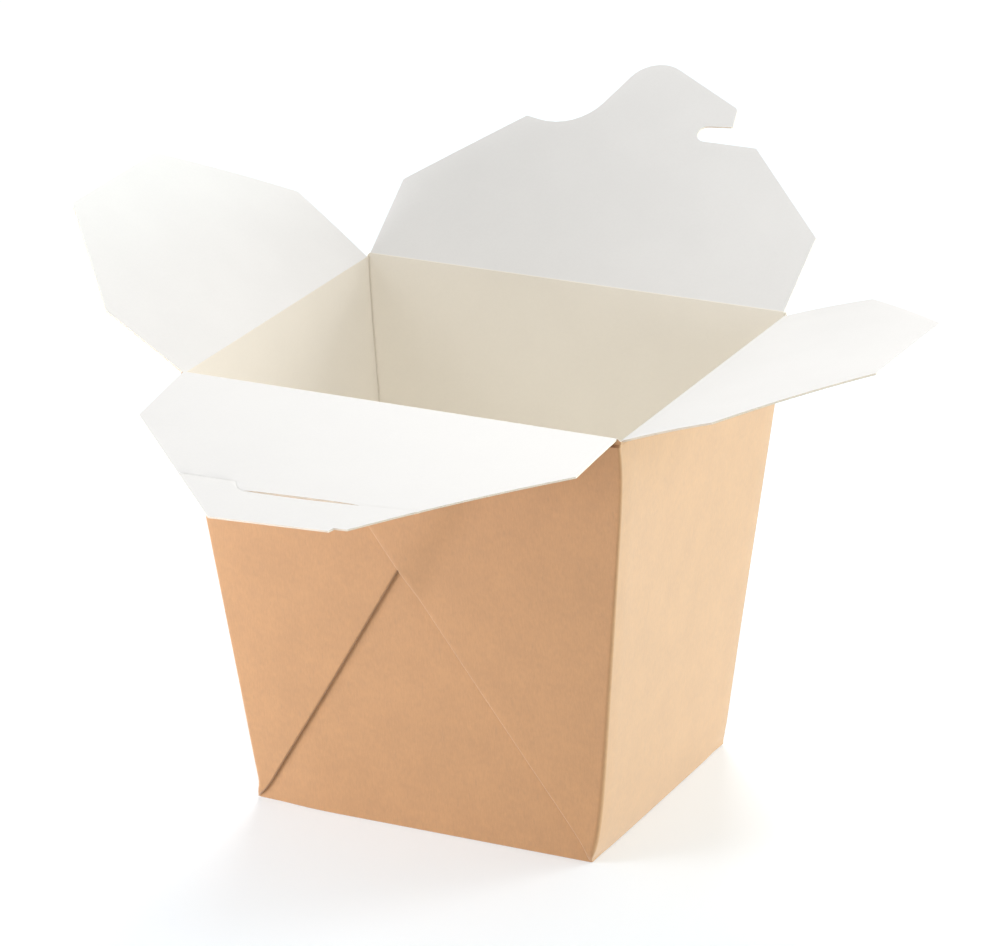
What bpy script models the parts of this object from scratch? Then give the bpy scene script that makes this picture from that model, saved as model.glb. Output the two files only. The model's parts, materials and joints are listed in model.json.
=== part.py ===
"""An open noodle takeaway box, folded from one blank of coated kraft board.

The carton is a tapered pail with its corner gussets folded flat on to the
front and back walls.  Four lid flaps hang on creases along its rim: two side
flaps that close first, a front flap with a slit, and a back flap whose hooked
tongue locks into that slit.  The box stands on z = 0 with the origin at the
middle of its base, its front wall towards -Y and its right wall towards +X.
Sizes are in millimetres here and become metres in the meshes.
"""

import math

import bmesh
import bpy
from mathutils import Matrix, Vector

MM = 0.001

# Board and box
BOARD = 0.42
BASE_WIDTH = 82.0
BASE_DEPTH = 69.0
RIM_WIDTH = 105.0
RIM_DEPTH = 88.5
SIDE_CREASE_HEIGHT = 102.7
END_CREASE_HEIGHT = 103.45    # the front and back flaps close over the side flaps
CREASE_GAP = 0.5              # from a crease's axis down to the edge of its wall

# Gussets folded on to the front and back walls, two boards thick each
UNDER_FOLD_ANGLE = 58.8       # of the lower gusset's fold, from the base edge
OVER_FOLD_ANGLE = 56.0        # of the upper gusset's fold
GUSSET_FOOT = 1.0             # up the wall from the base edge
GUSSET_TOP_DROP = 1.35        # below the end creases
GUSSET_STEP = 0.2             # by which an upper gusset's top is lower still
GUSSET_EASE = 0.45            # flat that eases the fold at a corner of the box
GUSSET_SET_IN = 0.06          # from the side wall's face to a gusset's edge
CROSSING_LAP = 0.4            # up from where the folds cross to full height
LOWER_ROOT = 0.25             # how deep the lower gussets are sunk in their wall
UPPER_ROOT = 0.15

# Side flaps
SIDE_ROOT_HALF = 43.2
SIDE_SHOULDER_HALF = 43.4
SIDE_SHOULDER_REACH = 22.3
SIDE_TIP_HALF = 17.9
SIDE_REACH = 49.1

# Front flap
FRONT_HALF = 52.0
FRONT_SHOULDER_REACH = 20.0
FRONT_TIP_HALF = 16.2
FRONT_REACH = 55.0
NICK_WIDTH = 3.6
NICK_DEPTH = 1.3
SLIT_REACH = 43.8
SLIT_HALF = 13.8
SLIT_WIDTH = 0.7

# Back flap; a rounded corner is (along, reach, radius), from the crease's middle
BACK_HALF = 52.0
BACK_SHOULDER_REACH = 21.6
BACK_TIP_HALF = 29.0
BACK_REACH = 44.5
NECK_DIP = (-15.8, 42.3, 12.5)
TONGUE_CROWN = (-5.6, 67.2, 8.2)
BEAK_TOP = (21.0, 54.5, 1.6)
BEAK_POINT = (22.0, 48.9, 0.6)
THROAT_TOP = (13.7, 48.6, 2.1)
THROAT_BOTTOM = (13.7, 44.3, 2.1)

# Angles of the open flaps, from level and pointing outwards
SIDE_LEFT_RISE = 32.0
SIDE_RIGHT_RISE = 16.0
FRONT_RISE = -8.0
BACK_RISE = 35.0

ARC_STEP = math.radians(15.0)
OVERCUT = 2.0                 # by which a cutter passes the faces that it cuts

KRAFT = (0.62, 0.37, 0.20, 1.0)
COATED_WHITE = (0.86, 0.85, 0.83, 1.0)


def clear_scene():
    """Remove every object that the file starts with."""
    for scene_object in list(bpy.data.objects):
        bpy.data.objects.remove(scene_object, do_unlink=True)


def board_material(name, colour, roughness):
    """A plain board finish for one piece."""
    material = bpy.data.materials.new(name)
    material.use_nodes = True
    shader = material.node_tree.nodes["Principled BSDF"]
    shader.inputs["Base Color"].default_value = colour
    shader.inputs["Roughness"].default_value = roughness
    shader.inputs["Metallic"].default_value = 0.0
    return material


def add_object(name, mesh_data, material=None):
    """Put a bmesh, drawn in millimetres, into the scene as an object in metres."""
    bmesh.ops.scale(mesh_data, vec=(MM, MM, MM), verts=mesh_data.verts)
    bmesh.ops.recalc_face_normals(mesh_data, faces=mesh_data.faces)
    mesh = bpy.data.meshes.new(name)
    mesh_data.to_mesh(mesh)
    mesh_data.free()
    new_object = bpy.data.objects.new(name, mesh)
    bpy.context.collection.objects.link(new_object)
    if material:
        mesh.materials.append(material)
    return new_object


def as_tool(tool):
    """Mark a solid that only shapes another one."""
    tool.hide_render = True
    tool.display_type = 'WIRE'
    return tool


def combine(target, tool, operation):
    """Cut a tool out of a target, or join it on."""
    boolean = target.modifiers.new(tool.name, 'BOOLEAN')
    boolean.operation = operation
    boolean.solver = 'EXACT'
    boolean.object = tool


# ---------------------------------------------------------------- the carton

def half_width(height):
    """Half of the outer width of the box at a height."""
    flare = (RIM_WIDTH - BASE_WIDTH) / 2 / SIDE_CREASE_HEIGHT
    return BASE_WIDTH / 2 + flare * height


def half_depth(height):
    """Half of the outer depth of the box at a height."""
    flare = (RIM_DEPTH - BASE_DEPTH) / 2 / END_CREASE_HEIGHT
    return BASE_DEPTH / 2 + flare * height


def tapered_block(bottom, top, inset):
    """A solid with the taper of the box, set in from its outer faces."""
    shape = bmesh.new()
    rings = []
    for height in (bottom, top):
        reach_x = half_width(height) - inset
        reach_y = half_depth(height) - inset
        ring = [shape.verts.new((sign_x * reach_x, sign_y * reach_y, height))
                for sign_x, sign_y in ((-1, -1), (1, -1), (1, 1), (-1, 1))]
        rings.append(ring)
        shape.faces.new(ring)
    for corner in range(4):
        following = (corner + 1) % 4
        shape.faces.new((rings[0][corner], rings[0][following],
                         rings[1][following], rings[1][corner]))
    return shape


def on_front_wall(along, up, proud):
    """The place at a distance along and up the front wall, and out from it."""
    lean = math.atan((RIM_DEPTH - BASE_DEPTH) / 2 / END_CREASE_HEIGHT)
    depth = BASE_DEPTH / 2 + up * math.sin(lean) + proud * math.cos(lean)
    height = up * math.cos(lean) - proud * math.sin(lean)
    return Vector((along, -depth, height))


def wall_corner(up):
    """Where a gusset meets the box's corner, at a distance up the wall."""
    return half_width(on_front_wall(0.0, up, 0.0).z) - GUSSET_SET_IN


def gusset_slab(name, outer, faces, root_depth, turn):
    """A folded gusset: its outer skin, closed down to just inside the wall.

    outer lists (along, up, proud) in order round the outline; faces splits it
    into flat parts; turn is 1 on the front wall and -1 on the back wall.
    """
    shape = bmesh.new()
    skin = []
    root = []
    for along, up, proud in outer:
        for row, height in ((skin, proud), (root, -root_depth)):
            place = on_front_wall(along, up, height)
            row.append(shape.verts.new((turn * place.x, turn * place.y, place.z)))
    for face in faces:
        shape.faces.new([skin[index] for index in face])
    shape.faces.new(root)
    for index in range(len(outer)):
        following = (index + 1) % len(outer)
        shape.faces.new((skin[index], skin[following], root[following], root[index]))
    return as_tool(add_object(name, shape))


def corner_edge(up, side, proud):
    """A gusset's end at the box's corner: the eased fold's two edges."""
    return [
        (side * (wall_corner(up) - GUSSET_EASE), up, proud),
        (side * wall_corner(up), up, proud - GUSSET_EASE),
    ]


def add_gussets(carton, side, turn):
    """Fold the two gussets of one end wall, the right one over the left one."""
    under = 2 * BOARD
    over = 4 * BOARD
    under_run = math.tan(math.radians(UNDER_FOLD_ANGLE))
    over_run = math.tan(math.radians(OVER_FOLD_ANGLE))
    lean = math.atan((RIM_DEPTH - BASE_DEPTH) / 2 / END_CREASE_HEIGHT)
    top = (END_CREASE_HEIGHT - GUSSET_TOP_DROP) / math.cos(lean)
    half_base = BASE_WIDTH / 2
    crossing = BASE_WIDTH / (1 / under_run + 1 / over_run) + CROSSING_LAP

    foot_inner, foot_corner = corner_edge(GUSSET_FOOT, -1, under)
    top_inner, top_corner = corner_edge(top, -1, under)
    lower = [
        foot_corner,
        foot_inner,
        (-half_base + GUSSET_FOOT / under_run, GUSSET_FOOT, under),
        (-half_base + top / under_run, top, under),
        top_inner,
        top_corner,
    ]
    parts = [(0, 1, 4, 5), (1, 2, 3, 4)]
    slab = gusset_slab(side + "_lower_gusset", lower, parts, LOWER_ROOT, turn)
    combine(carton, slab, 'UNION')

    upper_top = top - GUSSET_STEP
    foot_inner, foot_corner = corner_edge(GUSSET_FOOT, 1, under)
    top_inner, top_corner = corner_edge(upper_top, 1, under)
    upper = [
        foot_corner,
        top_corner,
        top_inner,
        (-half_base + upper_top / under_run, upper_top, over),
        (half_base - upper_top / over_run, upper_top, over),
        (half_base - crossing / over_run, crossing, over),
        (half_base - GUSSET_FOOT / over_run, GUSSET_FOOT, under),
        foot_inner,
    ]
    parts = [(0, 1, 2, 7), (2, 3, 7), (3, 5, 7), (3, 4, 5), (5, 6, 7)]
    slab = gusset_slab(side + "_upper_gusset", upper, parts, UPPER_ROOT, turn)
    combine(carton, slab, 'UNION')


def add_carton():
    """The tapered pail: base, four walls and their folded gussets."""
    top = END_CREASE_HEIGHT - CREASE_GAP
    above = top + OVERCUT
    kraft = board_material("kraft_board", KRAFT, 0.75)
    carton = add_object("carton", tapered_block(0.0, top, 0.0), kraft)

    inside = add_object("inside", tapered_block(BOARD, above, BOARD))
    combine(carton, as_tool(inside), 'DIFFERENCE')

    lowered = bmesh.new()
    bmesh.ops.create_cube(lowered, size=1.0)
    floor_of_cut = SIDE_CREASE_HEIGHT - CREASE_GAP
    between_ends = half_depth(floor_of_cut) - BOARD
    bmesh.ops.scale(lowered, vec=(RIM_WIDTH + OVERCUT, 2 * between_ends, above - floor_of_cut),
                    verts=lowered.verts)
    bmesh.ops.translate(lowered, vec=(0, 0, (above + floor_of_cut) / 2), verts=lowered.verts)
    combine(carton, as_tool(add_object("side_rim_cut", lowered)), 'DIFFERENCE')

    add_gussets(carton, "front", 1)
    add_gussets(carton, "back", -1)
    return carton


# ----------------------------------------------------------------- the flaps

def rounded(corners):
    """Points of an outline whose corners are (along, reach, radius)."""
    points = []
    count = len(corners)
    for index, (along, reach, radius) in enumerate(corners):
        corner = Vector((along, reach))
        if not radius:
            points.append(corner)
            continue
        before = Vector(corners[index - 1][:2]) - corner
        after = Vector(corners[(index + 1) % count][:2]) - corner
        before.normalize()
        after.normalize()
        opening = before.angle(after)
        bisector = (before + after).normalized()
        centre = corner + bisector * (radius / math.sin(opening / 2))
        start = corner + before * (radius / math.tan(opening / 2)) - centre
        end = corner + after * (radius / math.tan(opening / 2)) - centre
        sweep = start.angle_signed(end)
        steps = max(2, math.ceil(abs(sweep) / ARC_STEP))
        for step in range(steps + 1):
            turn = Matrix.Rotation(-sweep * step / steps, 2)
            points.append(centre + turn @ start)
    return points


def plate(points):
    """A board of even thickness with its middle in the plane z = 0."""
    shape = bmesh.new()
    lower = [shape.verts.new((point[0], point[1], -BOARD / 2)) for point in points]
    upper = [shape.verts.new((point[0], point[1], BOARD / 2)) for point in points]
    shape.faces.new(lower)
    shape.faces.new(upper)
    for index in range(len(points)):
        following = (index + 1) % len(points)
        shape.faces.new((lower[index], lower[following], upper[following], upper[index]))
    return shape


def hang(flap, crease, turn, rise):
    """Put a flap's origin on its crease, turned to its side and folded open.

    A flap is drawn with its crease along X and its tip towards +Y, as the back
    flap lies when it is level.
    """
    flap.location = Vector(crease) * MM
    flap.rotation_euler = (math.radians(rise), 0.0, math.radians(turn))


def side_outline():
    """A side flap: straight edges to the shoulders, then a taper to the tip."""
    half = [
        (SIDE_ROOT_HALF, 0.0),
        (SIDE_SHOULDER_HALF, SIDE_SHOULDER_REACH),
        (SIDE_TIP_HALF, SIDE_REACH),
    ]
    return half + [(-along, reach) for along, reach in reversed(half)]


def front_outline():
    """The front flap: as a side flap, with a nick beside its tip."""
    shoulder = (FRONT_HALF, FRONT_SHOULDER_REACH)
    slope = (FRONT_REACH - FRONT_SHOULDER_REACH) / (FRONT_HALF - FRONT_TIP_HALF)
    nick_reach = FRONT_REACH - NICK_DEPTH
    nick_end = FRONT_TIP_HALF + NICK_DEPTH / slope
    return [
        (FRONT_HALF, 0.0),
        shoulder,
        (FRONT_TIP_HALF, FRONT_REACH),
        (-nick_end + NICK_WIDTH, FRONT_REACH),
        (-nick_end + NICK_WIDTH - NICK_DEPTH / 2, nick_reach),
        (-nick_end, nick_reach),
        (-shoulder[0], shoulder[1]),
        (-FRONT_HALF, 0.0),
    ]


def back_outline():
    """The back flap: a tapered lid whose tip carries the hooked tongue."""
    corners = [
        (-BACK_HALF, 0.0, 0.0),
        (-BACK_HALF, BACK_SHOULDER_REACH, 0.0),
        (-BACK_TIP_HALF, BACK_REACH, 0.0),
        NECK_DIP,
        TONGUE_CROWN,
        BEAK_TOP,
        BEAK_POINT,
        THROAT_TOP,
        THROAT_BOTTOM,
        (BACK_TIP_HALF, BACK_REACH, 0.0),
        (BACK_HALF, BACK_SHOULDER_REACH, 0.0),
        (BACK_HALF, 0.0, 0.0),
    ]
    return rounded(corners)


def add_flap(name, outline, material, crease, turn, rise):
    """One lid flap, hung on its crease."""
    flap = add_object(name, plate(outline), material)
    hang(flap, crease, turn, rise)
    return flap


def add_flaps():
    """The four lid flaps in the order in which they close."""
    white = board_material("coated_board", COATED_WHITE, 0.55)
    side_crease = RIM_WIDTH / 2
    end_crease = RIM_DEPTH / 2
    add_flap("left_flap", side_outline(), white,
             (-side_crease, 0.0, SIDE_CREASE_HEIGHT), 90.0, SIDE_LEFT_RISE)
    add_flap("right_flap", side_outline(), white,
             (side_crease, 0.0, SIDE_CREASE_HEIGHT), -90.0, SIDE_RIGHT_RISE)
    front = add_flap("front_flap", front_outline(), white,
                     (0.0, -end_crease, END_CREASE_HEIGHT), 180.0, FRONT_RISE)
    add_flap("back_flap", back_outline(), white,
             (0.0, end_crease, END_CREASE_HEIGHT), 0.0, BACK_RISE)

    slit = bmesh.new()
    bmesh.ops.create_cube(slit, size=1.0)
    bmesh.ops.scale(slit, vec=(2 * SLIT_HALF, SLIT_WIDTH, OVERCUT), verts=slit.verts)
    bmesh.ops.translate(slit, vec=(0.0, SLIT_REACH, 0.0), verts=slit.verts)
    cutter = as_tool(add_object("slit", slit))
    cutter.location = front.location
    cutter.rotation_euler = front.rotation_euler
    combine(front, cutter, 'DIFFERENCE')


def main():
    clear_scene()
    add_carton()
    add_flaps()


main()
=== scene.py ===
"""The finish of an open noodle takeaway box, modelled round its fixed frame.

The carton is one folded board.  Here it is a pail with a panel wrapped round
each side wall; the ends of a panel are the gussets that lie folded on the front
and back walls.  Four lid flaps hang on the rim, coated white inside and bare
kraft outside.  The file is laid out as an add-on: sizes and colours are
properties, and each group of pieces has its own operator.
"""

import json
import math

import bpy
from bpy.props import FloatProperty, FloatVectorProperty, PointerProperty
from mathutils import Matrix, Vector


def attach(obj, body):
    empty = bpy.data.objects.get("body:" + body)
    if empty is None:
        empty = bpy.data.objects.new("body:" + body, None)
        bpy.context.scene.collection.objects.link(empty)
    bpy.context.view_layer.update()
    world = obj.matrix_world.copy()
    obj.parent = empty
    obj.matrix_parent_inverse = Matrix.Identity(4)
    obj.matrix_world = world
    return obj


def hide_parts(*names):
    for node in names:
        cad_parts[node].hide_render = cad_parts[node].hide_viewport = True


bl_info = {
    "name": "Noodle takeaway box",
    "version": (1, 0, 0),
    "blender": (4, 5, 0),
    "location": "3D View > Sidebar > Noodle box",
    "description": "Models the folded board, the lid flaps and the stage of an open noodle takeaway box",
    "category": "Object",
}

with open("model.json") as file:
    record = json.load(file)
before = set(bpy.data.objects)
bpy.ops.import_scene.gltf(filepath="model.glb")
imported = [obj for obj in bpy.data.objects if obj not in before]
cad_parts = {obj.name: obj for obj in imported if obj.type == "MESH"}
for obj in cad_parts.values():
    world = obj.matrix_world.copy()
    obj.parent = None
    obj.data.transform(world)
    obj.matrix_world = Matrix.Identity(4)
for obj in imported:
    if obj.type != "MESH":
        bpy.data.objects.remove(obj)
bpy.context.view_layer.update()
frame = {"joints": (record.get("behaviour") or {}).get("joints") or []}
CREASES = {joint["name"]: Vector(joint["pos_m"]) for joint in frame["joints"]}
SIDE_CREASE = CREASES["right_crease"]
END_CREASE = CREASES["back_crease"]

MM = 0.001

# How finely the pieces are divided
CORNER_STEPS = 8
WALL_STEPS = 14
WALL_LEVELS = 40
GUSSET_STEPS = 44
GUSSET_LEVELS = 60
FOLD_STEPS = 8
KNUCKLE_STEPS = 9
FLAP_SPACING = 2.6 * MM
ARC_STEP = math.radians(10.0)
SMOOTH_ANGLE = math.radians(32.0)

# Tolerances of the modelling
SEAM_MERGE = 0.002 * MM
SLIT_MERGE = 0.01 * MM
CORNER_MARGIN = 1.0 * MM

# How sharply the carton's give falls off: of a bulge towards the base and rim,
# of an edge's shift towards the middle of a wall, and of a tuck from a corner
BULGE_POWER = 8
EDGE_POWER = 3
CROSS_POWER = 4
CORNER_POWER = 8
FLARE_RUN_IN = 16 * MM

# Where a side wall goes down under its panel, above the base and below the rim
DROP_FOOT = 0.7 * MM
DROP_FOOT_RAMP = 1.0 * MM
DROP_TOP = 0.3 * MM
DROP_TOP_RAMP = 0.5 * MM

# Half widths and depths of the creases pressed beside the slit
SCORE = (0.3 * MM, 0.16 * MM)
FAINT_SCORE = (0.35 * MM, 0.08 * MM)

# Material slots of every board piece; the lining's slot holds the inside coat with painted bounce light in
# its colour
COAT, KRAFT, PULP, LINING_PAINTED_BOUNCE = range(4)


# ------------------------------------------------------------ the properties

def length(name, description, millimetres):
    """A property that holds a length, given in millimetres."""
    return FloatProperty(name=name, description=description, default=millimetres * MM,
                         unit='LENGTH', precision=5)


def angle(name, description, degrees):
    """A property that holds an angle, given in degrees."""
    return FloatProperty(name=name, description=description, default=math.radians(degrees),
                         subtype='ANGLE', unit='ROTATION')


def share(name, description, default):
    """A property that holds a plain number."""
    return FloatProperty(name=name, description=description, default=default)


def colour(name, description, default):
    """A property that holds a colour."""
    return FloatVectorProperty(name=name, description=description, default=default,
                               subtype='COLOR', size=3, min=0.0, max=1.0)


class NoodleBoxCartonSizes(bpy.types.PropertyGroup):
    """The sizes of the folded carton."""

    board: length("Board", "Thickness of the board", 0.42)
    base_width: length("Base width", "Outer width across the base", 82.0)
    base_depth: length("Base depth", "Outer depth across the base", 69.0)
    base_fold: length("Base fold", "Outer radius of the folds round the base", 0.5)
    inner_fold: length("Inner fold", "Radius of the folds seen inside", 0.26)
    wall_corner: length("Wall corner", "Radius of the pail's upright corners", 0.5)
    corner_low: length("Corner at the base", "Radius of a panel's fold at the base", 1.1)
    corner_high: length("Corner at the rim", "Radius of a panel's fold at the rim", 0.6)
    skin: length("Skin", "Thickness of a panel over its side wall", 0.12)
    skin_drop: length("Skin drop", "How far a side wall lies under its panel", 0.1)
    under_fold: angle("Under fold", "Angle of the lower gusset's fold, from the base", 58.8)
    over_fold: angle("Over fold", "Angle of the upper gusset's fold, from the base", 56.7)
    gusset_foot: length("Gusset foot", "Height at which the panels start", 0.3)
    gusset_ramp: length("Gusset ramp", "Height over which a gusset gains its thickness", 2.0)
    gusset_drop: length("Gusset drop", "From an end crease down to the gussets", 1.35)
    gusset_step: length("Gusset step", "By which an upper gusset's top is lower still", 0.2)
    overlap_ramp: length("Overlap ramp", "Over which an upper gusset comes down to the wall", 9.0)
    right_front_bow: length("Right front bow", "How far the right wall bulges at its front", 1.6)
    right_back_bow: length("Right back bow", "How far the right wall bulges at its back", 0.15)
    left_bow: length("Left bow", "How far the left wall bulges", -0.45)
    end_bow: length("End bow", "How far the front and back walls bulge", 0.3)
    side_flare: length("Side flare", "How far the foot of the carton lies to the right", 0.3)
    end_flare: length("End flare", "How far the foot of the front wall stands out", 1.25)
    flare_height: length("Flare height", "Height at which the flare ends", 34.0)
    right_tuck: length("Right tuck", "How far the base corners at the right are drawn in", 0.6)
    left_tuck: length("Left tuck", "How far the base corners at the left are drawn in", 1.3)
    tuck_height: length("Tuck height", "Height at which that ends", 6.0)


class NoodleBoxFlapSizes(bpy.types.PropertyGroup):
    """The outlines of the lid flaps and how they stand open."""

    side_root: length("Side root", "Half of a side flap's width at its crease", 43.2)
    side_shoulder: length("Side shoulder", "Half of its width at the shoulders", 43.4)
    side_shoulder_reach: length("Side shoulder reach", "From its crease to the shoulders", 22.3)
    side_tip: length("Side tip", "Half of its width at the tip", 17.9)
    side_reach: length("Side reach", "From its crease to the tip", 49.1)
    end_half: length("End half", "Half of the width of the front and back flaps", 52.0)
    front_shoulder_reach: length("Front shoulder reach", "From the crease to the shoulders", 20.0)
    front_tip: length("Front tip", "From the middle of the front flap to its tip's left corner", 16.2)
    front_tip_right: length("Front tip right", "From the middle to the tip's other corner", 14.4)
    front_reach: length("Front reach", "From the crease to the front flap's tip", 55.0)
    nick_width: length("Nick width", "Width of the nick beside the front flap's tip", 3.6)
    nick_depth: length("Nick depth", "Depth of that nick", 1.3)
    slit_reach: length("Slit reach", "From the crease to the slit in the front flap", 43.75)
    slit_half: length("Slit half", "Half of the slit's length", 13.8)
    slit_gap: length("Slit gap", "How far the slit gapes in its middle", 0.8)
    back_shoulder_reach: length("Back shoulder reach", "From the crease to the shoulders", 21.6)
    back_tip: length("Back tip", "Half of the back flap's width below the tongue", 29.0)
    back_reach: length("Back reach", "From the crease to the foot of the tongue", 44.5)

    left_rise: angle("Left rise", "Rise of the left flap at its crease", 36.1)
    left_curl: angle("Left curl", "Angle that the left flap loses towards its tip", 6.2)
    left_twist: angle("Left twist", "Angle that its back edge rises above its middle", 2.47)
    right_rise: angle("Right rise", "Rise of the right flap at its crease", 21.0)
    right_curl: angle("Right curl", "Angle that the right flap loses towards its tip", 10.4)
    right_twist: angle("Right twist", "Angle that its back edge rises above its middle", -0.6)
    front_rise: angle("Front rise", "Rise of the front flap at its crease", -6.1)
    front_curl: angle("Front curl", "Angle that the front flap loses towards its tip", 4.4)
    front_twist: angle("Front twist", "Angle that its right edge rises above its middle", 2.6)
    back_rise: angle("Back rise", "Rise of the back flap at its crease", 34.6)
    back_curl: angle("Back curl", "Angle that the back flap loses towards its tip", 0.8)
    back_twist: angle("Back twist", "Angle that its right edge rises above its middle", -1.6)


class NoodleBoxFinish(bpy.types.PropertyGroup):
    """The colours and textures of the board."""

    kraft: colour("Kraft", "Bare outside of the board", (0.443, 0.225, 0.089))
    kraft_fleck: colour("Kraft fleck", "Darker fibres in the bare board", (0.30, 0.17, 0.08))
    coat: colour("Coat", "Coated inside of the lid flaps", (0.86, 0.847, 0.82))
    # The lining is the flaps' coat painted lighter and creamier: painted bounce light, standing in for
    # light thrown round inside the box.
    lining: colour("Lining", "Coated inside of the walls, as the closed box warms it", (0.95, 0.90, 0.805))
    pulp: colour("Pulp", "Cut edge of the board", (0.76, 0.65, 0.53))
    kraft_roughness: share("Kraft roughness", "Roughness of the bare board", 0.68)
    coat_roughness: share("Coat roughness", "Roughness of the coated inside", 0.5)


class NoodleBoxStage(bpy.types.PropertyGroup):
    """The camera, the lights and the floor."""

    lens: share("Lens", "Focal length in millimetres on a 36 mm sensor", 194.77)
    azimuth: angle("Azimuth", "Camera's turn round the box", 26.48)
    elevation: angle("Elevation", "Camera's height above the horizon", 20.91)
    roll: angle("Roll", "Camera's roll", -0.999)
    distance: length("Distance", "From the camera to the point that it looks at", 1203.5)
    backdrop: share("Backdrop", "Brightness of the white surroundings", 0.45)
    floor_glow: share("Floor glow", "Light that the white floor gives off", 0.3)
    back_power: share("Back light", "Power of the light behind and above, in watts", 11.8)
    right_back_power: share("Right back light", "Power of the light behind the right side, in watts", 6.3)
    right_power: share("Right light", "Power of the light at the right, in watts", 0.7)
    right_low_power: share("Low right light", "Power of the strip low at the right, in watts", 6.3)
    front_power: share("Front light", "Power of the light at the front left, in watts", 2.2)
    front_right_power: share("Front right light", "Power of the light at the front right, in watts", 2.6)
    flap_power: share("Flap light", "Power of the small light over the right flap, in watts", 0.13)
    left_low_power: share("Low left light", "Power of the panel low at the left, in watts", 1.31)


# ------------------------------------------------------- selecting and shaping

def start_piece():
    """Leave nothing selected, so that an operator acts on the new piece alone."""
    if bpy.context.mode != 'OBJECT':
        bpy.ops.object.mode_set(mode='OBJECT')
    bpy.ops.object.select_all(action='DESELECT')


def make_active(piece):
    """Select one piece only."""
    start_piece()
    piece.select_set(True)
    bpy.context.view_layer.objects.active = piece


def edit_all(piece):
    """Open a piece in edit mode with all of its mesh selected."""
    make_active(piece)
    bpy.ops.object.mode_set(mode='EDIT')
    bpy.ops.mesh.select_mode(type='FACE')
    bpy.ops.mesh.select_all(action='SELECT')


def edit_faces(piece, wanted):
    """Open a piece in edit mode with the faces selected whose centres are wanted."""
    edit_all(piece)
    bpy.ops.mesh.select_all(action='DESELECT')
    bpy.ops.object.mode_set(mode='OBJECT')
    for face in piece.data.polygons:
        face.select = wanted(face.center)
    bpy.ops.object.mode_set(mode='EDIT')


def end_edit():
    """Back to object mode."""
    bpy.ops.object.mode_set(mode='OBJECT')


def ease(value):
    """0 below 0, 1 above 1, and a smooth slope between them."""
    value = min(max(value, 0.0), 1.0)
    return value * value * (3.0 - 2.0 * value)


def between(start, end, part):
    """The value at a part of the way from start to end."""
    return start + (end - start) * part


def spread(start, end, steps):
    """Values from start to end with both ends, in even steps."""
    return [between(start, end, step / steps) for step in range(steps + 1)]


def arc(centre, radius, first, last, steps):
    """Points of an arc round a centre in the plane, from one angle to another."""
    return [(centre[0] + radius * math.cos(turn), centre[1] + radius * math.sin(turn))
            for turn in spread(first, last, steps)]


def lay_grid(name, rows):
    """A grid whose vertices lie on rows of places, all rows of one length."""
    start_piece()
    bpy.ops.mesh.primitive_grid_add(x_subdivisions=len(rows[0]) - 1,
                                    y_subdivisions=len(rows) - 1, size=1.0)
    piece = bpy.context.object
    piece.name = name
    places = (place for row in rows for place in row)
    for vertex, place in zip(piece.data.vertices, places):
        vertex.co = place
    return piece


def close_tube(piece):
    """Join a rolled grid's side edges and cap its two open ends."""
    edit_all(piece)
    bpy.ops.mesh.remove_doubles(threshold=SEAM_MERGE)
    bpy.ops.mesh.select_all(action='DESELECT')
    bpy.ops.mesh.select_mode(type='EDGE')
    bpy.ops.mesh.select_non_manifold()
    bpy.ops.mesh.fill()
    bpy.ops.mesh.select_mode(type='FACE')
    bpy.ops.mesh.select_all(action='SELECT')
    bpy.ops.mesh.normals_make_consistent(inside=False)
    end_edit()


def finish_piece(piece, body, node=None):
    """Smooth a finished piece, and make it ride on its body."""
    make_active(piece)
    bpy.ops.object.shade_smooth_by_angle(angle=SMOOTH_ANGLE)
    bpy.ops.object.transform_apply(location=True, rotation=True, scale=True)
    if node:
        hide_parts(node)
    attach(piece, body)


def add_board_slots(piece):
    """Give a piece the four finishes of the board, in the order of its slots."""
    for finish in (coated_white, bare_kraft, cut_pulp, coated_lining):
        piece.data.materials.append(finish())


# ----------------------------------------------------------------- the carton

def side_reach(height):
    """From the middle of the box to the middle of a side wall's board."""
    sizes = bpy.context.scene.noodle_box_carton
    foot = (sizes.base_width - sizes.board) / 2
    return between(foot, SIDE_CREASE.x, height / SIDE_CREASE.z)


def end_reach(height):
    """From the middle of the box to the middle of an end wall's board."""
    sizes = bpy.context.scene.noodle_box_carton
    foot = (sizes.base_depth - sizes.board) / 2
    return between(foot, END_CREASE.y, height / END_CREASE.z)


def relaxed(place):
    """Where a point of the straight carton lies once the board has given a little.

    The walls bulge between the base and the rim, the foot of the right and the
    front wall stands out, and the base corners are drawn in by their folds.
    """
    sizes = bpy.context.scene.noodle_box_carton
    x, y, z = place
    part = min(max(z / END_CREASE.z, 0.0), 1.0)
    bulge = 1.0 - abs(2.0 * part - 1.0) ** BULGE_POWER
    across = min(abs(x) / (side_reach(z) - CORNER_MARGIN), 1.0)
    along = min(abs(y) / (end_reach(z) - CORNER_MARGIN), 1.0)
    tuck = max(0.0, 1.0 - z / sizes.tuck_height) ** 2
    flare = max(0.0, 1.0 - z / sizes.flare_height) ** 2
    frontness = 0.5 - 0.5 * max(-1.0, min(1.0, y / end_reach(z)))
    bow = between(sizes.right_back_bow, sizes.right_front_bow, frontness)
    outward = bulge * (bow if x > 0.0 else sizes.left_bow)
    outward += flare * sizes.side_flare * (1.0 if x > 0.0 else -1.0)
    outward *= across ** EDGE_POWER
    drawn_in = sizes.right_tuck if x > 0.0 else sizes.left_tuck
    outward -= drawn_in * tuck * (across * along) ** CORNER_POWER
    run_in = ease((x + side_reach(z)) / FLARE_RUN_IN)
    endward = sizes.end_bow * bulge * (1.0 - across ** CROSS_POWER)
    endward += sizes.end_flare * flare * ease(frontness) * run_in
    endward *= along ** EDGE_POWER
    return (x + math.copysign(outward, x), y + math.copysign(endward, y), z)


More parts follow.
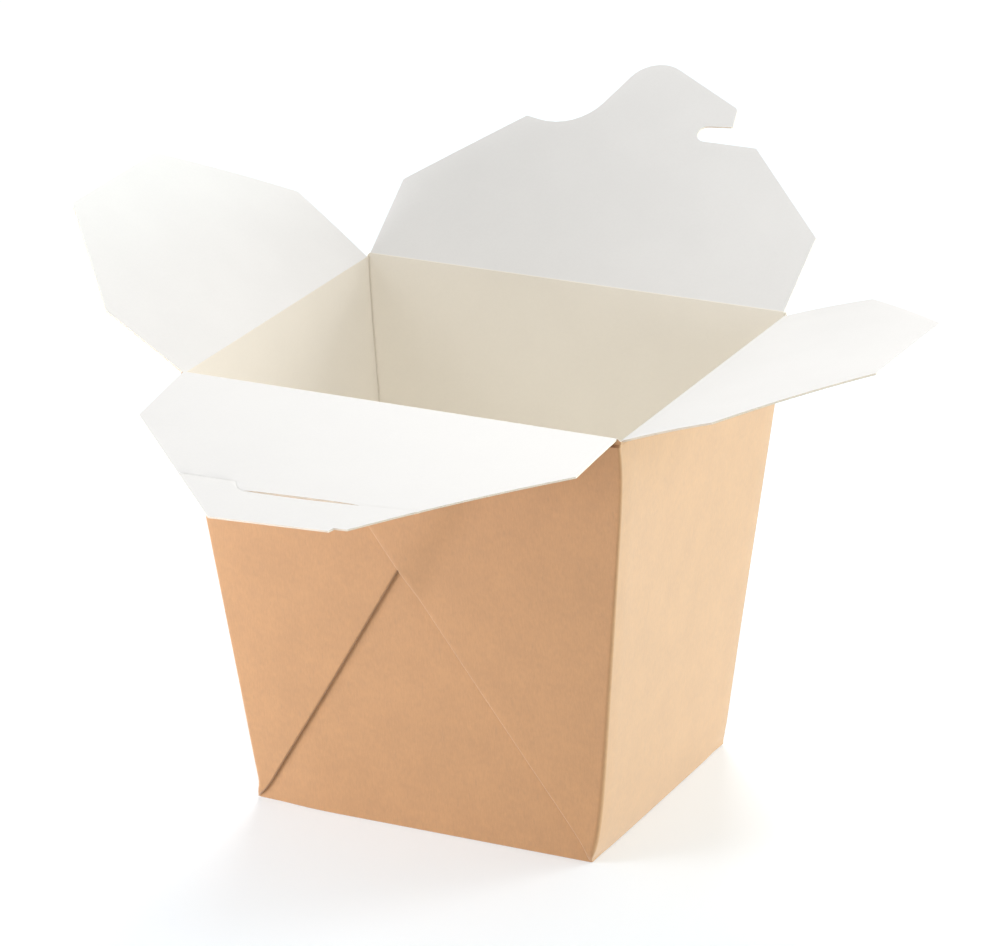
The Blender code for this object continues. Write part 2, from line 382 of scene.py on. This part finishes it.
def pail_ring(height, lift, out, turned):
    """One level of the pail, as points round it, counter-clockwise from above.

    out is how far the skin lies outside the middle of the board; turned is 0
    on the outer skin, which has round corners, and 1 on the inner skin, whose
    corners are narrow grooves.
    """
    sizes = bpy.context.scene.noodle_box_carton
    drop = sizes.skin_drop * (1.0 - turned)
    drop *= ease((height - DROP_FOOT) / DROP_FOOT_RAMP)
    drop *= ease((SIDE_CREASE.z - DROP_TOP - height) / DROP_TOP_RAMP)
    half_width = side_reach(height) + out - drop
    half_depth = end_reach(height) + out
    groove = sizes.inner_fold * ease(height / (2 * MM))
    inset = between(sizes.wall_corner, 0.0, turned)
    radius = between(sizes.wall_corner, groove, turned)
    first = between(0.0, -math.pi / 2, turned)
    last = between(math.pi / 2, math.pi, turned)
    points = []
    for quarter, (sign_x, sign_y) in enumerate(((1, -1), (1, 1), (-1, 1), (-1, -1))):
        facing = (quarter - 1) * math.pi / 2
        centre = (sign_x * (half_width - inset), sign_y * (half_depth - inset))
        corner = arc(centre, radius, facing + first, facing + last, CORNER_STEPS)
        from_end = quarter % 2 == 0
        for step, point in enumerate(corner):
            endness = ease(step / CORNER_STEPS)
            points.append((point, 1.0 - endness if from_end else endness))
    count = len(points)
    ring = []
    for index in range(count):
        (start, start_end), (stop, stop_end) = points[index], points[(index + 1) % count]
        straight = index % (CORNER_STEPS + 1) == CORNER_STEPS
        steps = WALL_STEPS if straight else 1
        for step in range(steps):
            part = step / steps
            x = between(start[0], stop[0], part)
            y = between(start[1], stop[1], part)
            rim = between(SIDE_CREASE.z, END_CREASE.z, between(start_end, stop_end, part))
            ring.append(relaxed((x, y, height * rim / SIDE_CREASE.z + lift)))
    return ring + ring[:1]


def make_pail():
    """The base and the four walls, outside, over the rim and down the inside."""
    sizes = bpy.context.scene.noodle_box_carton
    half = sizes.board / 2
    fold = sizes.base_fold
    inner = sizes.inner_fold
    rim = SIDE_CREASE.z
    rings = []
    for turn in spread(-math.pi / 2, 0.0, CORNER_STEPS):
        rings.append(pail_ring(0.0, fold * (1 + math.sin(turn)), half - fold * (1 - math.cos(turn)), 0.0))
    for height in spread(fold, rim - fold, WALL_LEVELS)[1:]:
        rings.append(pail_ring(height, 0.0, half, 0.0))
    kraft_rows = len(rings)
    knuckle = spread(0.0, math.pi, KNUCKLE_STEPS)
    for turn in knuckle:
        rings.append(pail_ring(rim, half * math.sin(turn), half * math.cos(turn), turn / math.pi))
        kraft_rows += turn < math.radians(60.0)
    for height in spread(rim - fold, fold, WALL_LEVELS):
        rings.append(pail_ring(height, 0.0, -half, 1.0))
    for turn in spread(0.0, -math.pi / 2, CORNER_STEPS)[1:]:
        rings.append(pail_ring(0.0, sizes.board + inner * (1 + math.sin(turn)),
                               -half - inner * (1 - math.cos(turn)), 1.0))
    pail = lay_grid("pail", rings)
    add_board_slots(pail)
    columns = len(rings[0]) - 1
    # The inside faces take the lining, whose lighter, creamier colour is painted bounce light.
    for index, face in enumerate(pail.data.polygons):
        face.material_index = KRAFT if index // columns < kraft_rows else LINING_PAINTED_BOUNCE
    close_tube(pail)
    for face in pail.data.polygons:
        if len(face.vertices) > 4 or face.center.z < 0.1 * MM:
            face.material_index = KRAFT if face.center.z < 0.1 * MM else LINING_PAINTED_BOUNCE
    finish_piece(pail, "carton", "carton")


def gusset_fold(height, fold_angle):
    """How far from the middle of the box a gusset's fold is, at a height."""
    sizes = bpy.context.scene.noodle_box_carton
    lean = math.atan((END_CREASE.y - end_reach(0.0)) / END_CREASE.z)
    up = height / math.cos(lean)
    return sizes.base_width / 2 - up / math.tan(fold_angle)


def gusset_end(height, fold_angle, over, side_face, end_face):
    """A gusset's section from its fold to its box corner, as points on the front wall.

    Returns the points of its outer skin, with the rounded fold first and the
    rounded box corner last, and the points of its hidden underside.
    """
    sizes = bpy.context.scene.noodle_box_carton
    plies = 2 * sizes.board * ease((height - 0.6 * sizes.gusset_foot) / sizes.gusset_ramp)
    fold = gusset_fold(height, fold_angle)
    lower_fold = -gusset_fold(height, sizes.under_fold)
    corner = between(sizes.corner_low, sizes.corner_high, height / END_CREASE.z)
    corner = min(corner, 0.4 * (side_face - fold))

    def lying_on(x):
        """How far the gusset is held off the wall by the one below it."""
        return plies * (1.0 - ease((x - lower_fold) / sizes.overlap_ramp)) if over else 0.0

    radius = plies / 2
    centre = (fold + radius, -(end_face + lying_on(fold) + radius))
    skin = arc(centre, radius, math.pi / 2, math.pi * 1.5, FOLD_STEPS)
    flat = spread(fold + radius, side_face - corner, GUSSET_STEPS)
    skin += [(x, -(end_face + lying_on(x) + plies)) for x in flat[1:-1]]
    skin += arc((flat[-1], -(end_face + lying_on(flat[-1]) + plies - corner)), corner,
                -math.pi / 2, 0.0, CORNER_STEPS)
    sunk = 0.06 * MM
    underside = [(x, -(end_face + lying_on(x) - sunk)) for x in flat]
    return skin, underside


def panel_ring(part):
    """One level of a panel: the board round a side wall, with a gusset at each end."""
    sizes = bpy.context.scene.noodle_box_carton
    foot = sizes.gusset_foot
    under_top = END_CREASE.z - sizes.gusset_drop
    side_top = SIDE_CREASE.z - sizes.base_fold / 2
    side_height = between(foot, side_top, part)
    over_height = between(foot, under_top - sizes.gusset_step, part)
    under_height = between(foot, under_top, part)
    half = sizes.board / 2
    side_face = side_reach(side_height) + half
    over_face = end_reach(over_height) + half
    under_face = end_reach(under_height) + half
    over_skin, over_back = gusset_end(over_height, sizes.over_fold, True, side_face, over_face)
    under_skin, under_back = gusset_end(under_height, sizes.under_fold, False, side_face, under_face)

    ring = [(x, y, over_height) for x, y in over_skin]
    run = spread(over_skin[-1][1], -under_skin[-1][1], WALL_STEPS)[1:-1]
    ring += [(side_face, y, side_height) for y in run]
    ring += [(x, -y, under_height) for x, y in reversed(under_skin)]
    ring += [(x, -y, under_height) for x, y in under_back[:-1]]
    inner = side_face - sizes.skin
    ends = (-under_back[-1][1] - sizes.skin, over_back[-1][1] + sizes.skin)
    ring += [(inner, y, side_height) for y in spread(ends[0], ends[1], WALL_STEPS)]
    ring += [(x, y, over_height) for x, y in reversed(over_back[:-1])]
    return ring + ring[:1]


def make_side_panels():
    """The two panels, one the other turned half round, then each with its own bulge."""
    levels = [step / GUSSET_LEVELS for step in range(GUSSET_LEVELS + 1)]
    rings = [panel_ring(level ** 1.3) for level in levels]
    for name, turn in (("right_side_panel", 1), ("left_side_panel", -1)):
        rows = [[relaxed((turn * x, turn * y, z)) for x, y, z in ring] for ring in rings]
        panel = lay_grid(name, rows)
        add_board_slots(panel)
        close_tube(panel)
        for face in panel.data.polygons:
            face.material_index = KRAFT
        finish_piece(panel, "carton")


# ------------------------------------------------------------------ the flaps

def rounded(corners):
    """Points of an outline whose corners are (along, reach, radius)."""
    points = []
    count = len(corners)
    for index, (along, reach, radius) in enumerate(corners):
        corner = Vector((along, reach))
        if not radius:
            points.append(corner)
            continue
        before = (Vector(corners[index - 1][:2]) - corner).normalized()
        after = (Vector(corners[(index + 1) % count][:2]) - corner).normalized()
        opening = before.angle(after)
        centre = corner + (before + after).normalized() * (radius / math.sin(opening / 2))
        start = corner + before * (radius / math.tan(opening / 2)) - centre
        end = corner + after * (radius / math.tan(opening / 2)) - centre
        sweep = start.angle_signed(end)
        steps = max(3, math.ceil(abs(sweep) / ARC_STEP))
        for turn in spread(0.0, -sweep, steps):
            points.append(centre + Matrix.Rotation(turn, 2) @ start)
    return points


def side_outline():
    """A side flap: straight edges to the shoulders, then a taper to the tip."""
    sizes = bpy.context.scene.noodle_box_flaps
    half = [
        (sizes.side_root, 0.0),
        (sizes.side_shoulder, sizes.side_shoulder_reach),
        (sizes.side_tip, sizes.side_reach),
    ]
    return half + [(-along, reach) for along, reach in reversed(half)]


def front_outline():
    """The front flap, with the nick beside its tip."""
    sizes = bpy.context.scene.noodle_box_flaps
    half, tip, reach = sizes.end_half, sizes.front_tip, sizes.front_reach
    shoulder = sizes.front_shoulder_reach
    slope = (reach - shoulder) / (half - sizes.front_tip_right)
    nick_end = sizes.front_tip_right + sizes.nick_depth / slope
    nick_start = sizes.nick_width - nick_end
    return [
        (half, 0.0),
        (half, shoulder),
        (tip, reach),
        (nick_start, reach),
        (nick_start - sizes.nick_depth / 2, reach - sizes.nick_depth),
        (-nick_end, reach - sizes.nick_depth),
        (-half, shoulder),
        (-half, 0.0),
    ]


def back_outline():
    """The back flap: a tapered lid whose tip carries the hooked tongue."""
    sizes = bpy.context.scene.noodle_box_flaps
    tongue = [
        (13.7, 44.3, 2.1),
        (13.7, 48.6, 2.1),
        (21.3, 49.6, 0.6),
        (20.5, 55.1, 1.6),
        (-4.9, 67.7, 8.0),
        (-15.8, 42.3, 12.5),
    ]
    corners = [
        (sizes.end_half, 0.0, 0.0),
        (sizes.end_half, sizes.back_shoulder_reach, 0.0),
        (sizes.back_tip, sizes.back_reach, 0.0),
        *[(along * MM, reach * MM, radius * MM) for along, reach, radius in tongue],
        (-sizes.back_tip, sizes.back_reach, 0.0),
        (-sizes.end_half, sizes.back_shoulder_reach, 0.0),
        (-sizes.end_half, 0.0, 0.0),
    ]
    return rounded(corners)


def draw_sheet(name, outline):
    """A flat sheet with its crease along X and its tip towards +Y, ruled into small faces."""
    start_piece()
    bpy.ops.mesh.primitive_circle_add(vertices=len(outline), radius=1.0, fill_type='NGON')
    sheet = bpy.context.object
    sheet.name = name
    for vertex, (along, reach) in zip(sheet.data.vertices, outline):
        vertex.co = (along, reach, 0.0)
    edit_all(sheet)
    for axis, direction in ((0, (1, 0, 0)), (1, (0, 1, 0))):
        low = min(point[axis] for point in outline)
        high = max(point[axis] for point in outline)
        lines = math.ceil((high - low) / FLAP_SPACING)
        for place in spread(low, high, lines)[1:-1]:
            bpy.ops.mesh.select_all(action='SELECT')
            bpy.ops.mesh.bisect(plane_co=Vector(direction) * place, plane_no=direction)
    end_edit()
    return sheet


def off_segment(place, start, end):
    """Distance in the sheet's plane from a place to the segment from start to end."""
    start, end, place = Vector(start), Vector(end), Vector(place[:2])
    run = end - start
    part = min(max((place - start).dot(run) / run.length_squared, 0.0), 1.0)
    return (place - start - run * part).length


def press_score(sheet, start, end, half_width, depth):
    """Press a straight crease line into a flat sheet."""
    run = Vector(end) - Vector(start)
    across = Vector((-run.y, run.x, 0.0)).normalized()
    for offset in (-half_width, 0.0, half_width):
        edit_faces(sheet, lambda centre: off_segment(centre, start, end) < FLAP_SPACING)
        bpy.ops.mesh.bisect(plane_co=Vector((*start, 0.0)) + across * offset, plane_no=across)
        end_edit()
    for vertex in sheet.data.vertices:
        near = off_segment(vertex.co, start, end) / half_width
        if near < 1.0:
            vertex.co.z = min(vertex.co.z, -depth * (1.0 - near * near))


def cut_slit(sheet):
    """Cut the gaping slit that the back flap's tongue goes into."""
    sizes = bpy.context.scene.noodle_box_flaps
    reach, half, gap = sizes.slit_reach, sizes.slit_half, sizes.slit_gap
    lines = [((0.0, reach - gap / 2, 0.0), (0, 1, 0)), ((0.0, reach + gap / 2, 0.0), (0, 1, 0)),
             ((-half, 0.0, 0.0), (1, 0, 0)), ((half, 0.0, 0.0), (1, 0, 0))]
    for place, direction in lines:
        edit_faces(sheet, lambda centre: abs(centre.y - reach) < 2 * FLAP_SPACING
                   and abs(centre.x) < half + 2 * FLAP_SPACING)
        bpy.ops.mesh.bisect(plane_co=place, plane_no=direction)
        end_edit()
    edit_faces(sheet, lambda centre: abs(centre.y - reach) < gap / 2 and abs(centre.x) < half)
    bpy.ops.mesh.delete(type='FACE')
    end_edit()
    for vertex in sheet.data.vertices:
        off = vertex.co.y - reach
        if abs(off) < gap * 0.51 and abs(vertex.co.x) < half * 1.001:
            gape = math.sqrt(max(0.0, 1.0 - (vertex.co.x / half) ** 2))
            vertex.co.y = reach + off * gape
    edit_all(sheet)
    bpy.ops.mesh.remove_doubles(threshold=SLIT_MERGE)
    end_edit()


def curl_sheet(sheet, half_width, reach, rise, curl, twist):
    """Stand a flat sheet open on its crease, curled along its reach and twisted across it."""
    bend = -curl / reach
    for vertex in sheet.data.vertices:
        along, out, proud = vertex.co
        first = rise + twist * along / half_width
        last = first + bend * out
        vertex.co = (
            along,
            (math.sin(last) - math.sin(first)) / bend - proud * math.sin(last),
            (math.cos(first) - math.cos(last)) / bend + proud * math.cos(last),
        )


def hang_flap(sheet, crease, turn, body):
    """Give a curled sheet the board's thickness and hang it on its crease."""
    sizes = bpy.context.scene.noodle_box_carton
    add_board_slots(sheet)
    make_active(sheet)
    board = sheet.modifiers.new("Board", 'SOLIDIFY')
    board.thickness = sizes.board
    board.offset = 0.0
    board.use_even_offset = True
    board.use_quality_normals = True
    board.material_offset = KRAFT
    board.material_offset_rim = PULP
    bpy.ops.object.modifier_apply(modifier=board.name)
    sheet.rotation_euler = (0.0, 0.0, turn)
    sheet.location = CREASES[crease]
    finish_piece(sheet, body, body)


def make_side_flaps():
    """The two side flaps."""
    sizes = bpy.context.scene.noodle_box_flaps
    for side, turn, mirrored in (("left", math.pi / 2, 1), ("right", -math.pi / 2, -1)):
        sheet = draw_sheet(side + "_lid_flap", side_outline())
        rise = getattr(sizes, side + "_rise")
        curl = getattr(sizes, side + "_curl")
        twist = mirrored * getattr(sizes, side + "_twist")
        curl_sheet(sheet, sizes.side_shoulder, sizes.side_reach, rise, curl, twist)
        hang_flap(sheet, side + "_crease", turn, side + "_flap")


def make_front_flap():
    """The front flap, with its slit, the crease lines beside it and the nick."""
    sizes = bpy.context.scene.noodle_box_flaps
    sheet = draw_sheet("front_lid_flap", front_outline())
    cut_slit(sheet)
    slope = [(31.5 * MM, 40.0 * MM), (17.4 * MM, 40.4 * MM), (15.6 * MM, 42.9 * MM),
             (13.8 * MM, sizes.slit_reach)]
    for start, end in zip(slope, slope[1:]):
        press_score(sheet, start, end, *SCORE)
    press_score(sheet, (-13.8 * MM, sizes.slit_reach), (-27.5 * MM, 43.2 * MM), *FAINT_SCORE)
    curl_sheet(sheet, sizes.end_half, sizes.front_reach, sizes.front_rise, sizes.front_curl,
               -sizes.front_twist)
    hang_flap(sheet, "front_crease", math.pi, "front_flap")


def make_back_flap():
    """The back flap with its hooked tongue."""
    sizes = bpy.context.scene.noodle_box_flaps
    sheet = draw_sheet("back_lid_flap", back_outline())
    curl_sheet(sheet, sizes.end_half, sizes.back_reach, sizes.back_rise, sizes.back_curl,
               sizes.back_twist)
    hang_flap(sheet, "back_crease", 0.0, "back_flap")


# -------------------------------------------------------------- the materials

class Amount:
    """A shader value that can be used in a sum, which adds the Math nodes for it."""

    def __init__(self, shades, socket):
        self.shades = shades
        self.socket = socket

    def _sum(self, operation, first, second):
        return self.shades.node('ShaderNodeMath', {"operation": operation}, {0: first, 1: second})

    def __add__(self, other):
        return self._sum('ADD', self, other)

    def __radd__(self, other):
        return self._sum('ADD', other, self)

    def __sub__(self, other):
        return self._sum('SUBTRACT', self, other)

    def __rsub__(self, other):
        return self._sum('SUBTRACT', other, self)

    def __mul__(self, other):
        return self._sum('MULTIPLY', self, other)

    def __rmul__(self, other):
        return self._sum('MULTIPLY', other, self)


class Shades:
    """Builds one material's nodes."""

    def __init__(self, name):
        self.material = bpy.data.materials.new(name)
        self.material.use_nodes = True
        self.tree = self.material.node_tree
        self.shader = self.tree.nodes["Principled BSDF"]

    def put(self, socket, value):
        """Link a value to a socket, or set the socket to it."""
        if isinstance(value, Amount):
            self.tree.links.new(value.socket, socket)
        elif hasattr(value, "__len__") and len(value) == 3 and socket.type == 'RGBA':
            socket.default_value = (*value, 1.0)
        else:
            socket.default_value = value

    def node(self, kind, settings=None, inputs=None, output=0):
        """Add a node: its settings first, then the values or links of its sockets."""
        made = self.tree.nodes.new(kind)
        for name, value in (settings or {}).items():
            setattr(made, name, value)
        for key, value in (inputs or {}).items():
            self.put(made.inputs[key], value)
        return Amount(self, made.outputs[output])

    def surface(self, **inputs):
        """Set the shader's own sockets; an underscore in a name stands for a space."""
        for name, value in inputs.items():
            self.put(self.shader.inputs[name.replace("_", " ")], value)

    def noise(self, place, size, detail=2.0, roughness=0.5):
        """Noise whose features are about a size across, from 0 to 1."""
        return self.node('ShaderNodeTexNoise', inputs={
            "Vector": place, "Scale": 1.0 / size, "Detail": detail, "Roughness": roughness})

    def graded(self, value, low, high, first=0.0, last=1.0):
        """A value carried smoothly from the range low..high to first..last."""
        return self.node('ShaderNodeMapRange', {"interpolation_type": 'SMOOTHSTEP'}, {
            "Value": value, "From Min": low, "From Max": high, "To Min": first, "To Max": last})

    def blend(self, factor, first, second):
        """A mix of two colours."""
        return self.node('ShaderNodeMix', {"data_type": 'RGBA'}, {0: factor, 6: first, 7: second},
                         output=2)

    def place(self, stretch=(1.0, 1.0, 1.0)):
        """Object coordinates, stretched."""
        coordinates = self.node('ShaderNodeTexCoord', output="Object")
        return self.node('ShaderNodeMapping', inputs={"Vector": coordinates, "Scale": stretch})


def kept(name, make):
    """The material of a name, made when it is first asked for."""
    return bpy.data.materials.get(name) or make(name)


def bare_kraft():
    """The uncoated outside: brown board with a cloudy formation and long fibres."""
    def make(name):
        finish = bpy.context.scene.noodle_box_finish
        shades = Shades(name)
        place = shades.place()
        upright = shades.place((1.0, 1.0, 0.22))
        cloud = shades.noise(place, 9.0 * MM, 3.0, 0.6)
        mottle = shades.noise(place, 1.6 * MM, 3.0, 0.6)
        fibre = shades.noise(upright, 0.32 * MM, 2.0, 0.6)
        fleck = shades.noise(upright, 0.7 * MM, 1.0, 0.5)
        flecks = shades.graded(fleck, 0.66, 0.78)
        shade = cloud * 0.30 + mottle * 0.30 + fibre * 0.40
        light = [min(1.0, 1.09 * level) for level in finish.kraft]
        dark = [0.90 * level for level in finish.kraft]
        base = shades.blend(shades.graded(shade, 0.28, 0.72), dark, light)
        base = shades.blend(flecks * 0.22, base, finish.kraft_fleck)
        height = fibre * 0.6 + mottle * 0.4
        bump = shades.node('ShaderNodeBump', inputs={
            "Strength": 0.35, "Distance": 0.04 * MM, "Height": height})
        shades.surface(Base_Color=base, Normal=bump, Specular_IOR_Level=0.5,
                       Sheen_Weight=0.5, Sheen_Roughness=0.5,
                       Roughness=finish.kraft_roughness + (mottle - 0.5) * 0.12)
        return shades.material
    return kept("bare_kraft", make)


def coated(name, colour_of_coat):
    """A coated inside: smooth, with a faint print of the board below."""
    # For the walls' inside, colour_of_coat is the lining, whose colour holds painted bounce light.
    finish = bpy.context.scene.noodle_box_finish
    shades = Shades(name)
    place = shades.place()
    cloud = shades.noise(place, 14.0 * MM, 3.0, 0.5)
    grain = shades.noise(place, 0.6 * MM, 2.0, 0.5)
    dark = [0.975 * level for level in colour_of_coat]
    base = shades.blend(shades.graded(cloud * 0.6 + grain * 0.4, 0.3, 0.7), dark, colour_of_coat)
    bump = shades.node('ShaderNodeBump', inputs={
        "Strength": 0.2, "Distance": 0.02 * MM, "Height": grain})
    shades.surface(Base_Color=base, Normal=bump, Specular_IOR_Level=0.5,
                   Roughness=finish.coat_roughness + (cloud - 0.5) * 0.08)
    return shades.material


def coated_white():
    """The white coat of the lid flaps."""
    return kept("coated_white", lambda name: coated(name, bpy.context.scene.noodle_box_finish.coat))


def coated_lining():
    """The coat inside the walls, a lighter, creamier copy of the flaps' coat: painted bounce light."""
    return kept("coated_lining", lambda name: coated(name, bpy.context.scene.noodle_box_finish.lining))


def cut_pulp():
    """The cut edge: rough brown pulp."""
    def make(name):
        finish = bpy.context.scene.noodle_box_finish
        shades = Shades(name)
        grain = shades.noise(shades.place(), 0.18 * MM, 3.0, 0.6)
        dark = [0.75 * level for level in finish.pulp]
        base = shades.blend(shades.graded(grain, 0.3, 0.7), dark, finish.pulp)
        bump = shades.node('ShaderNodeBump', inputs={
            "Strength": 0.4, "Distance": 0.04 * MM, "Height": grain})
        shades.surface(Base_Color=base, Normal=bump, Roughness=0.85)
        return shades.material
    return kept("cut_pulp", make)


def white_floor():
    """The stage's floor: matt white."""
    def make(name):
        shades = Shades(name)
        stage = bpy.context.scene.noodle_box_stage
        shades.surface(Base_Color=(0.68, 0.73, 0.76), Roughness=1.0, Specular_IOR_Level=0.0,
                       Emission_Color=(1.0, 1.0, 1.0, 1.0), Emission_Strength=stage.floor_glow)
        return shades.material
    return kept("white_floor", make)


# ------------------------------------------------------------------ the stage

def add_area_light(name, place, target, size, energy, tint=(1.0, 1.0, 1.0)):
    """A rectangular soft light at a place, pointed at a target; lengths in metres, energy in watts."""
    light = bpy.data.lights.new(name, 'AREA')
    light.shape = 'RECTANGLE'
    light.size, light.size_y = size
    light.energy = energy
    light.color = tint
    lamp = bpy.data.objects.new(name, light)
    lamp.location = place
    lamp.rotation_euler = (Vector(target) - Vector(place)).to_track_quat('-Z', 'Y').to_euler()
    lamp.visible_camera = False
    bpy.context.scene.collection.objects.link(lamp)
    return lamp


def make_floor():
    """A wide pale floor."""
    start_piece()
    bpy.ops.mesh.primitive_plane_add(size=12.0)
    floor = bpy.context.object
    floor.name = "floor"
    floor.data.materials.append(white_floor())


def make_camera():
    """The camera: a long lens from the front right, a little above the rim."""
    stage = bpy.context.scene.noodle_box_stage
    aim = Vector((1.99, 0.99, 72.47)) * MM
    level = math.cos(stage.elevation)
    back = Vector((math.sin(stage.azimuth) * level, -math.cos(stage.azimuth) * level,
                   math.sin(stage.elevation)))
    camera = bpy.data.cameras.new("camera")
    camera.lens = stage.lens
    camera.sensor_width = 36.0
    camera.clip_start = 0.05
    camera.clip_end = 50.0
    eye = bpy.data.objects.new("camera", camera)
    eye.location = aim + back * stage.distance
    turned = (-back).to_track_quat('-Z', 'Y').to_matrix() @ Matrix.Rotation(stage.roll, 3, 'Z')
    eye.rotation_euler = turned.to_euler()
    bpy.context.scene.collection.objects.link(eye)
    bpy.context.scene.camera = eye


def make_surroundings():
    """White surroundings and soft lights."""
    stage = bpy.context.scene.noodle_box_stage
    world = bpy.data.worlds.new("surroundings")
    world.use_nodes = True
    background = world.node_tree.nodes["Background"]
    background.inputs["Color"].default_value = (1.0, 1.0, 1.0, 1.0)
    background.inputs["Strength"].default_value = stage.backdrop
    bpy.context.scene.world = world
    middle = (0.0, 0.0, 0.06)
    add_area_light("back_light", (-0.45, 1.1, 1.3), middle, (0.5, 0.5), stage.back_power)
    add_area_light("right_back_light", (0.9, 0.9, 0.5), middle, (0.5, 0.5), stage.right_back_power)
    add_area_light("right_light", (1.2, 0.0, 0.35), middle, (0.4, 0.4), stage.right_power)
    add_area_light("right_low_light", (0.75, 0.3, 0.04), (0.0, 0.0, 0.05), (0.5, 0.07),
                   stage.right_low_power, (0.72, 0.96, 0.98))
    add_area_light("front_light", (-0.8, -1.0, 0.8), middle, (0.6, 0.6), stage.front_power)
    add_area_light("front_right_light", (0.5, -1.0, 1.15), middle, (0.7, 0.7), stage.front_right_power)
    add_area_light("flap_light", (0.20, 0.04, 0.34), (0.095, 0.02, 0.115), (0.1, 0.1), stage.flap_power)
    add_area_light("left_low_light", (-0.28, -0.24, 0.07), (0.0, -0.04, 0.05), (0.2, 0.13),
                   stage.left_low_power, (0.9, 0.93, 1.0))
    view = bpy.context.scene.view_settings
    view.view_transform = 'Standard'
    view.look = 'None'


# -------------------------------------------------------------- the operators

class NOODLEBOX_OT_pail(bpy.types.Operator):
    """Model the base and the walls of the carton"""

    bl_idname = "noodle_box.pail"
    bl_label = "Pail"

    def execute(self, context):
        make_pail()
        return {'FINISHED'}


class NOODLEBOX_OT_side_panels(bpy.types.Operator):
    """Model the panels round the side walls, with their folded gussets"""

    bl_idname = "noodle_box.side_panels"
    bl_label = "Side panels"

    def execute(self, context):
        make_side_panels()
        return {'FINISHED'}


class NOODLEBOX_OT_side_flaps(bpy.types.Operator):
    """Model the two side flaps"""

    bl_idname = "noodle_box.side_flaps"
    bl_label = "Side flaps"

    def execute(self, context):
        make_side_flaps()
        return {'FINISHED'}


class NOODLEBOX_OT_front_flap(bpy.types.Operator):
    """Model the front flap, with its slit and crease lines"""

    bl_idname = "noodle_box.front_flap"
    bl_label = "Front flap"

    def execute(self, context):
        make_front_flap()
        return {'FINISHED'}


class NOODLEBOX_OT_back_flap(bpy.types.Operator):
    """Model the back flap, with its hooked tongue"""

    bl_idname = "noodle_box.back_flap"
    bl_label = "Back flap"

    def execute(self, context):
        make_back_flap()
        return {'FINISHED'}


class NOODLEBOX_OT_stage(bpy.types.Operator):
    """Set up the floor, the camera and the lights"""

    bl_idname = "noodle_box.stage"
    bl_label = "Stage"

    def execute(self, context):
        make_floor()
        make_camera()
        make_surroundings()
        return {'FINISHED'}


class NOODLEBOX_PT_sidebar(bpy.types.Panel):
    """Lists the box's pieces and settings in the sidebar"""

    bl_idname = "NOODLEBOX_PT_sidebar"
    bl_label = "Noodle box"
    bl_space_type = 'VIEW_3D'
    bl_region_type = 'UI'
    bl_category = "Noodle box"

    def draw(self, context):
        for operator in OPERATORS:
            self.layout.operator(operator.bl_idname)
        for name in SETTINGS:
            settings = getattr(context.scene, name)
            box = self.layout.box()
            for field in settings.bl_rna.properties:
                if field.identifier not in ("rna_type", "name"):
                    box.prop(settings, field.identifier)


SETTINGS = {
    "noodle_box_carton": NoodleBoxCartonSizes,
    "noodle_box_flaps": NoodleBoxFlapSizes,
    "noodle_box_finish": NoodleBoxFinish,
    "noodle_box_stage": NoodleBoxStage,
}
OPERATORS = (
    NOODLEBOX_OT_pail,
    NOODLEBOX_OT_side_panels,
    NOODLEBOX_OT_side_flaps,
    NOODLEBOX_OT_front_flap,
    NOODLEBOX_OT_back_flap,
    NOODLEBOX_OT_stage,
)


def register():
    """Register the properties, the operators and the panel."""
    for name, group in SETTINGS.items():
        bpy.utils.register_class(group)
        setattr(bpy.types.Scene, name, PointerProperty(type=group))
    for operator in OPERATORS:
        bpy.utils.register_class(operator)
    bpy.utils.register_class(NOODLEBOX_PT_sidebar)


def unregister():
    """Take them all away again."""
    bpy.utils.unregister_class(NOODLEBOX_PT_sidebar)
    for operator in reversed(OPERATORS):
        bpy.utils.unregister_class(operator)
    for name, group in reversed(SETTINGS.items()):
        delattr(bpy.types.Scene, name)
        bpy.utils.unregister_class(group)


def main():
    """Make every piece and the stage."""
    register()
    bpy.ops.noodle_box.pail()
    bpy.ops.noodle_box.side_panels()
    bpy.ops.noodle_box.side_flaps()
    bpy.ops.noodle_box.front_flap()
    bpy.ops.noodle_box.back_flap()
    bpy.ops.noodle_box.stage()


if __name__ == "__main__":
    main()
